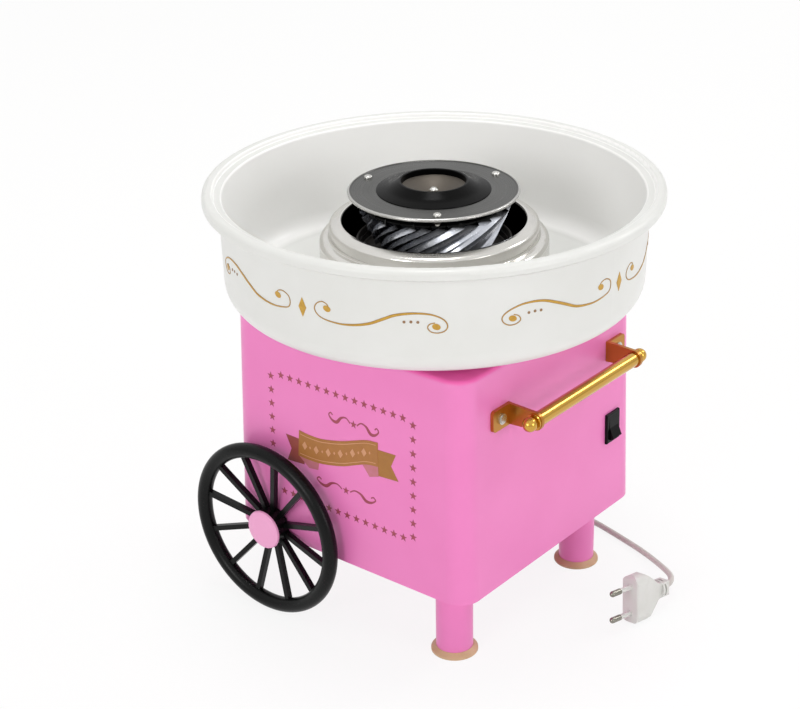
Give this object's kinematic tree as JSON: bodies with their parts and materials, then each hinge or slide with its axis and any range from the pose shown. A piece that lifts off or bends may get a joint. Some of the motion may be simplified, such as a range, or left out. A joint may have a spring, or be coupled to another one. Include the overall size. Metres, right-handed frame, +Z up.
{
  "type": "cotton candy machine",
  "caption": "Electric cotton candy machine shaped as a small cart: square housing on spoked wheels and suction feet, lift-off bowl, spinning heated head, handle, rocker switch and plug.",
  "frame": {"origin": "on the floor, on the axis of the bowl and the spinning head", "axes": "+Z up, +X towards the face with the handle and the switch, -Y towards the decorated face; the wheels' axle lies along Y near the -X end"},
  "size_m": [0.2962, 0.31, 0.2833],
  "materials": {
    "pink_plastic": "glossy moulded",
    "light_pink_plastic": "glossy moulded",
    "white_plastic": "glossy moulded",
    "black_plastic": "satin moulded",
    "switch_plastic": "glossy moulded",
    "foot_rubber": "smooth",
    "brass_finish": "lacquered, brushed",
    "polished_aluminium": "polished",
    "grey_aluminium": "bead blasted",
    "louvre_steel": "bright, punched",
    "dish_aluminium": "anodised",
    "black_enamel": "glossy",
    "zinc_steel": "zinc plated",
    "heater_steel": "heat tinted",
    "ceramic": "unglazed, stands in for steatite",
    "motor_steel": "plated",
    "magnet": "raw ferrite",
    "bush_rubber": "moulded",
    "board_green": "solder mask",
    "part_black": "moulded",
    "terminal_white": "moulded",
    "wire_sleeve": "woven sleeve",
    "cord_grey": "smooth sheath",
    "plug_grey": "moulded",
    "pin_metal": "nickel plated"
  },
  "bodies": {
    "machine": {"axle_clips": "zinc_steel", "board_parts": "part_black", "board_screws": "zinc_steel", "bottom_cover": "pink_plastic", "bracket_nuts": "zinc_steel", "bracket_screws": "zinc_steel", "cap_nut_left": "brass_finish", "cap_nut_right": "brass_finish", "collar": "polished_aluminium", "collar_screws": "zinc_steel", "cord_coil": "cord_grey", "cord_gland": "cord_grey", "cord_lead": "cord_grey", "cord_tail": "cord_grey", "cover_screws": "zinc_steel", "front_leg_left": "pink_plastic", "front_leg_right": "pink_plastic", "handle_bar": "brass_finish", "handle_bracket_left": "brass_finish", "handle_bracket_right": "brass_finish", "heat_pan": "zinc_steel", "heater_bushings": "ceramic", "heater_posts": "ceramic", "heating_element": "heater_steel", "housing": "pink_plastic", "inner_lead": "cord_grey", "inner_wires": "wire_sleeve", "leg_screws": "zinc_steel", "motor_bracket": "zinc_steel", "motor_bushes": "bush_rubber", "motor_can": "motor_steel", "motor_end_cap": "part_black", "motor_magnets": "magnet", "motor_screws": "zinc_steel", "plug_body": "plug_grey", "plug_pins": "pin_metal", "rectifier_board": "board_green", "suction_foot_left": "foot_rubber", "suction_foot_right": "foot_rubber", "switch_body": "switch_plastic", "switch_terminals": "brass_finish", "terminal_block": "terminal_white", "thermal_cutout": "part_black", "wheel_axles": "zinc_steel"},
    "head": {"head_disc": "grey_aluminium", "head_lock_nuts": "zinc_steel", "head_screws": "zinc_steel", "louvre_ring": "louvre_steel", "motor_armature": "motor_steel", "rotor_shaft": "zinc_steel", "spinner_nut": "zinc_steel", "spinner_pan": "grey_aluminium", "sugar_dish": "dish_aluminium", "sugar_funnel": "black_enamel"},
    "bowl": {"bowl": "white_plastic"},
    "left_wheel": {"hub_cap_left": "light_pink_plastic", "wheel_left": "black_plastic"},
    "right_wheel": {"hub_cap_right": "light_pink_plastic", "wheel_right": "black_plastic"},
    "rocker": {"rocker": "switch_plastic"}
  },
  "joints": [
    {"name": "head_spin", "type": "hinge", "parent": "machine", "child": "head", "pos_m": [0, 0, 0.24], "axis": [0, 0, 1], "continuous": true},
    {"name": "left_wheel_roll", "type": "hinge", "parent": "machine", "child": "left_wheel", "pos_m": [-0.06, -0.1047, 0.06], "axis": [0, 1, 0], "continuous": true},
    {"name": "right_wheel_roll", "type": "hinge", "parent": "machine", "child": "right_wheel", "pos_m": [-0.06, 0.1047, 0.06], "axis": [0, 1, 0], "continuous": true},
    {"name": "rocker_tilt", "type": "hinge", "parent": "machine", "child": "rocker", "pos_m": [0.09429, 0.0662, 0.1125], "axis": [0, 1, 0], "range_deg": [0, 24]},
    {"name": "bowl_lift", "type": "slide", "parent": "machine", "child": "bowl", "axis": [0, 0, 1], "range_m": [0, 0.12]}
  ]
}
